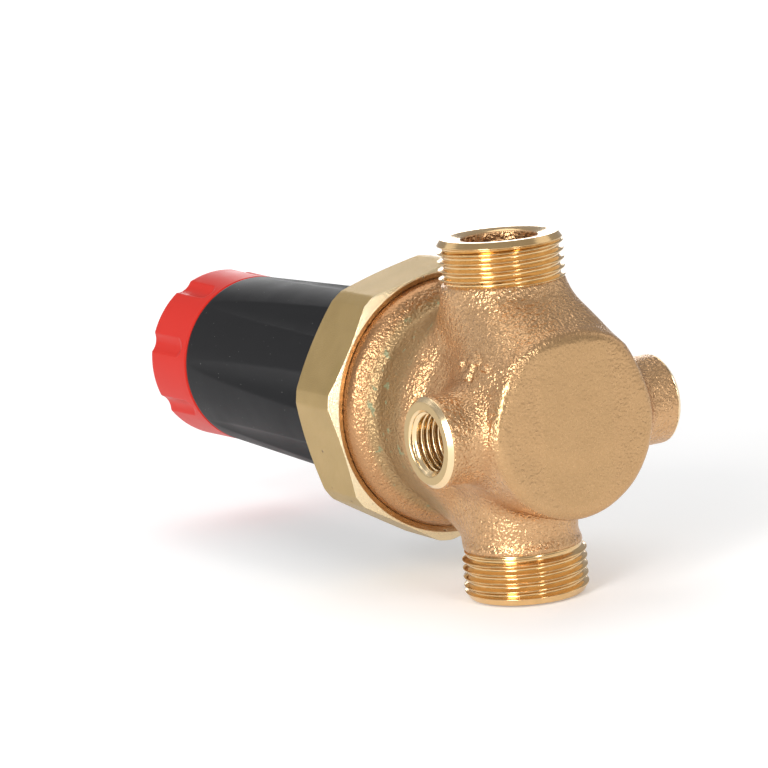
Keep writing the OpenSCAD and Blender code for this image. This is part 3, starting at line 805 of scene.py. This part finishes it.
def off_nearest(angle, first, count):
    """How far each angle is from the nearest of count evenly spaced ones."""
    pitch = TURN / count
    return (angle - first + pitch / 2) % pitch - pitch / 2


def groove_depth(angle, first, radius, depth, cutter):
    """Depth of evenly spaced round-bottomed grooves whose cutter has the given radius."""
    off = off_nearest(angle, first, GROOVES)
    across = radius * np.sin(off)
    drop = radius * (1 - np.cos(off))
    return np.maximum(depth - drop - (cutter - np.sqrt(np.maximum(cutter**2 - across**2, 0))), 0)


def make_bonnet():
    """The spring bonnet: clamped flange, grooved taper, end wall with a recess, and keyways inside."""
    columns = 384
    angle = ring_angles(columns)
    low, high = bonnet_low[1], bonnet_high[1]
    s = np.concatenate([np.linspace(NUT_WEB, 41, 6)[:-1], np.linspace(41, high - 0.6, 110)])
    base = BONNET_END_R + (BONNET_BASE_R - BONNET_END_R) * (high - s) / (high - 40)
    deep = 1.74 * np.clip((112 - s) / 72, 0, 1) * fade(s, 38.5, 40.5)
    cut = groove_depth(angle, BONNET_GROOVE, base, deep, 9.3)
    outer = base - smooth_max(cut, 0, 0.06) + 0.03
    flange = dense_profile([(19.6, low), (26.6, low), (26.6, NUT_WEB), (22.1, NUT_WEB)], 1.0, 0.1)
    first = np.abs(flange - (19.9, low)).sum(1).argmin()
    flange = np.roll(flange, -first, 0)
    flange = flange[: np.argmax((flange[:, 1] > NUT_WEB - 0.01) & (flange[:, 0] < 22.8)) + 1]
    end = [(BONNET_END_R - 0.06, high - 0.3), (BONNET_END_R - 0.3, high - 0.05), (BONNET_END_R - 0.6, high)]
    end += [(14.0, high), (8.9, high), (8.6, high - 0.2), (8.6, high - 1.5), (8.4, high - 1.7)]
    end += [(5.3, high - 1.7), (5.07, high - 2.0), (5.07, high - 3.6), (5.07, BONNET_WALL + 0.2)]
    end += [(5.3, BONNET_WALL), (10, BONNET_WALL), (16, BONNET_WALL)]
    inner_s = np.array([107.6, 106, 105.1, 104.9, 95, 85, 75, 65, 55, 45, 38.3])
    off = np.abs(off_nearest(angle, BONNET_GROOVE + TURN / GROOVES / 2, KEYWAYS))
    keyway = (off < math.asin(2.5 / 17.4)) * (inner_s < 105)
    tail = [(19.2, 38.1), (19.5, 37.8), (19.5, low + 0.3)]
    inner = (BONNET_BORE + KEYWAY_DEPTH * keyway, inner_s)
    radius, along = stack_rows([flange, (outer, s), np.array(end), inner, np.array(tail)], columns)
    points, quads = turned(radius, along, to_frame_bonnet)
    obj = add_object("bonnet_shell", points, quads, [BONNET_BLACK])
    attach(obj, "housing")
    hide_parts("bonnet")


def square_radius(angle, half_width):
    """Radius of a square hole's wall at each angle."""
    return half_width / np.cos(off_nearest(angle, 0, 4))


def make_knob():
    """The adjusting knob: grip grooves, a stepped recess for the lock screw, and a square for the spindle."""
    columns = 480
    angle = ring_angles(columns)
    low, high = knob_low[1], knob_high[1]
    full = (knob_high[0] - knob_low[0]) / 2
    s = [[low + 0.45], np.linspace(low + 0.6, 115.6, 5), np.linspace(115.8, 119.2, 22)]
    s = np.concatenate([*s, np.linspace(119.6, high - KNOB_EDGE - 0.2, 24)])
    base = BONNET_END_R + (full - BONNET_END_R) * (s - low) / (high - low - 1.2)
    deep = KNOB_GROOVE_DEPTH * fade(s, 115.6, 118.6) ** 0.7
    cut = groove_depth(angle, KNOB_GROOVE, full, deep, 3.4)
    outer = base - smooth_max(cut, 0, 0.07) + 0.035
    share = np.arange(1, 9) / 8  # of the way round the end's rounded edge
    bend = share * math.pi / 2
    brim_cut = groove_depth(angle, KNOB_GROOVE, full, KNOB_GROOVE_DEPTH, 3.4) * (1 - 0.6 * share)
    brim_r = full - KNOB_EDGE + KNOB_EDGE * np.cos(bend) - brim_cut
    brim = (brim_r, high - KNOB_EDGE + KNOB_EDGE * np.sin(bend))
    cap = [(17.0, high), (12.0, high), (8.75, high), (8.6, high - 0.15), (8.5, high - 0.8)]
    cap += [(5.5, high - 0.8), (5.2, high - 1.0), (5.2, high - 3)]
    cap += [(5.2, SCREW_SEAT + 0.1), (5.0, SCREW_SEAT)]
    hole = [(2.75, SCREW_SEAT), (2.7, SCREW_SEAT - 0.2), (2.7, SQUARE_END + 0.1), (3.0, SQUARE_END)]
    drive = (square_radius(angle, 3.55), np.array([SQUARE_END - 0.05, 118, 114.5]))
    skirt = [(7.0, 114.3), (7.2, 114.5), (7.2, KNOB_INSIDE - 0.2), (7.4, KNOB_INSIDE)]
    skirt += [(16.9, KNOB_INSIDE), (17.2, KNOB_INSIDE - 0.3)]
    skirt += [(17.3, 120), (17.3, low + 0.3), (17.5, low), (18.6, low)]
    lip = [(BONNET_END_R - 0.35, low), (BONNET_END_R - 0.08, low + 0.12), (BONNET_END_R, low + 0.3)]
    rows = [(outer, s), brim, np.array(cap + hole), drive, np.array(skirt + lip)]
    radius, along = stack_rows(rows, columns)
    points, quads = turned(radius, along, to_frame_bonnet)
    obj = add_object("adjusting_knob_red", points, quads, [KNOB_RED])
    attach(obj, "knob")
    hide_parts("adjusting_knob")


# ------------------------------------------------------------------ inner parts

SPRING_MEAN_R = 12.3
SPRING_WIRE_R = 1.8
SPRING_TURNS = 9


def make_spring():
    """The set spring: round wire, with one closed turn at each end."""
    box_low, box_high = box_mm("set_spring")
    low, high = box_low[1] + SPRING_WIRE_R, box_high[1] - SPRING_WIRE_R
    rings, sides = SPRING_TURNS * 48, 14
    turn = np.linspace(0, SPRING_TURNS, rings + 1)
    wire = 2 * SPRING_WIRE_R
    along = np.interp(turn, [0, 1, SPRING_TURNS - 1, SPRING_TURNS], [low, low + wire, high - wire, high])
    around = ring_angles(sides)[:, 0]
    radius = SPRING_MEAN_R + SPRING_WIRE_R * np.cos(around)
    height = along[:, None] + SPRING_WIRE_R * np.sin(around)
    angle = TURN * turn[:, None]
    points = to_frame_bonnet(radius * np.cos(angle), radius * np.sin(angle), height).reshape(-1, 3)
    i, j = np.meshgrid(np.arange(rings), np.arange(sides), indexing="ij")
    n = (j + 1) % sides
    quads = np.stack([i * sides + j, i * sides + n, (i + 1) * sides + n, (i + 1) * sides + j], -1)
    quads = facing_out(points, quads.reshape(-1, 4))
    last = rings * sides
    ends = [list(range(sides)), list(range(last, last + sides))[::-1]]
    obj = add_object("set_spring_wire", points, quads.tolist() + ends, [SPRING_STEEL])
    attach(obj, "housing")
    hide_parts("set_spring")
    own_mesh(obj)


DIAPHRAGM_LOW = 30.5  # underside of the diaphragm's middle when the valve is shut
DIAPHRAGM_T = 1.5
ROLL_MEAN_R = 17.0  # the roll's distance from the axis
ROLL_R = 2.0


def roll_arc(low, start, end):
    """Points (radius, s) on one side of the diaphragm's roll."""
    angles = np.radians(np.linspace(start, end, 13))
    return [(ROLL_MEAN_R + ROLL_R * math.cos(a), low + ROLL_R * math.sin(a)) for a in angles]


def diaphragm_ring(name, profile):
    """A rubber ring about the bonnet axis, from a closed profile."""
    radius, along = stack_rows([np.array(profile)], 192)
    points, quads = turned(radius, along, to_frame_bonnet)
    obj = add_object(name, points, quads, [RUBBER])
    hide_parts("diaphragm")
    return obj


def make_diaphragm():
    """The clamped rim stays with the housing, and the middle is a ring of its own, attached to no body."""
    low, top = DIAPHRAGM_LOW, DIAPHRAGM_LOW + DIAPHRAGM_T
    rim = roll_arc(low, 90, 30) + [(19.2, low + 1), (25.6, low + 1), (25.6, top + 1), (19.6, top + 1)]
    rim += roll_arc(top, 30, 90)
    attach(diaphragm_ring("diaphragm_rim", rim), "housing")
    middle = roll_arc(low, 180, 90) + roll_arc(top, 90, 180)
    middle = [(3.05, low), (14.9, low), *middle, (14.9, top), (3.05, top)]
    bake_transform(diaphragm_ring("diaphragm_middle", middle))


CAD_FINISH = {
    "knob_lock_screw": ZINC,
    "adjusting_spindle": TURNED_BRASS,
    "spindle_clip": SPRING_STEEL,
    "spindle_thrust_washer": IVORY,
    "spring_plate": TURNED_BRASS,
    "slip_ring": IVORY,
    "diaphragm_plate": TURNED_BRASS,
    "diaphragm_support": TURNED_BRASS,
    "stem_lock_nut": TURNED_BRASS,
    "valve_stem": TURNED_BRASS,
    "piston_seal": RUBBER,
    "cartridge_housing": IVORY,
    "cartridge_oring_upper": RUBBER,
    "cartridge_oring_lower": RUBBER,
    "inlet_strainer": STAINLESS,
    "valve_seat": STAINLESS,
    "disc_holder": TURNED_BRASS,
    "disc_seal": RUBBER,
    "disc_lock_washer": STAINLESS,
    "disc_nut": TURNED_BRASS,
}


def finish_cad_nodes():
    """Paints the CAD nodes that keep their shape."""
    for name, material in CAD_FINISH.items():
        mesh = nodes[name].data
        mesh.materials.clear()
        mesh.materials.append(material)


# ------------------------------------------------------------------ camera, light and floor

CAMERA_AZIMUTH = math.radians(-29.23)
CAMERA_ELEVATION = math.radians(10.02)
CAMERA_ROLL = math.radians(-5.02)
CAMERA_DISTANCE = 680.08  # from the crossing of the two axes, along the view, in mm
CAMERA_ASIDE = 26.94
CAMERA_ABOVE = -6.3
CAMERA_LENS = 152.81
FLOOR_REACH = 14.0
FLOOR_Z = -0.0005
WORLD_LIGHT = 0.42


def make_camera():
    """Looks at the closed end from the left and a little above, slightly rolled."""
    a, e, r = CAMERA_AZIMUTH, CAMERA_ELEVATION, CAMERA_ROLL
    back = Vector((math.sin(a) * math.cos(e), -math.cos(a) * math.cos(e), math.sin(e)))
    level = Vector((math.cos(a), math.sin(a), 0))
    upright = back.cross(level)
    right = level * math.cos(r) + upright * math.sin(r)
    up = -level * math.sin(r) + upright * math.cos(r)
    place = back * CAMERA_DISTANCE - right * CAMERA_ASIDE - up * CAMERA_ABOVE + Vector((0, 0, HALF))
    data = bpy.data.cameras.new("camera")
    data.lens = CAMERA_LENS
    data.clip_start, data.clip_end = 0.01, 50
    camera = bpy.data.objects.new("camera", data)
    camera.matrix_world = Matrix.Translation(place * MM) @ Matrix((right, up, back)).transposed().to_4x4()
    bpy.context.scene.collection.objects.link(camera)
    bpy.context.scene.camera = camera


def soft_box(name, azimuth, elevation, distance, width, height, radiance):
    """A soft box facing the valve. Azimuth is in degrees from +X, and radiance in pure white units."""
    a, e = math.radians(azimuth), math.radians(elevation)
    outward = Vector((math.cos(a) * math.cos(e), math.sin(a) * math.cos(e), math.sin(e)))
    data = bpy.data.lights.new(name, "AREA")
    data.shape = "RECTANGLE"
    data.size, data.size_y = width, height
    data.energy = radiance * math.pi * width * height
    light = bpy.data.objects.new(name, data)
    light.rotation_euler = (-outward).to_track_quat("-Z", "Y").to_euler()
    light.location = Vector((0, 0.02, HALF * MM)) + distance * outward
    bpy.context.scene.collection.objects.link(light)


def make_studio():
    """Soft boxes, a pale floor and an even white surround."""
    soft_box("left_box", -151, 20, 1.2, 0.36, 0.80, 11.5)
    soft_box("right_strip", -91, 26, 1.2, 0.13, 0.66, 10.0)
    soft_box("far_left_box", 130, 22, 1.3, 0.9, 0.7, 0.6)
    soft_box("far_right_box", -20, 25, 1.3, 0.7, 0.9, 0.7)
    soft_box("top_box", 90, 68, 1.0, 0.9, 0.8, 1.3)
    soft_box("back_strip", 61, 10, 1.5, 0.8, 0.26, 4.0)
    world = bpy.data.worlds.new("studio")
    bpy.context.scene.world = world
    world.use_nodes = True
    background = world.node_tree.nodes["Background"]
    background.inputs["Color"].default_value = (1, 1, 1, 1)
    background.inputs["Strength"].default_value = WORLD_LIGHT
    signs = ((-1, -1), (1, -1), (1, 1), (-1, 1))
    corners = [(FLOOR_REACH * x, FLOOR_REACH * y, FLOOR_Z) for x, y in signs]
    floor = add_object("floor", corners, [(0, 1, 2, 3)], [pale_floor()], smooth=False)
    view = bpy.context.scene.view_settings
    view.view_transform = "Standard"
    view.look = "None"


make_camera()
make_studio()
make_casting()
pipe_end("outlet_thread", 1)
pipe_end("inlet_thread", -1)
gauge_end("gauge_port_left", -1)
gauge_end("gauge_port_right", 1)
make_nut()
make_bonnet()
make_knob()
make_spring()
make_diaphragm()
finish_cad_nodes()
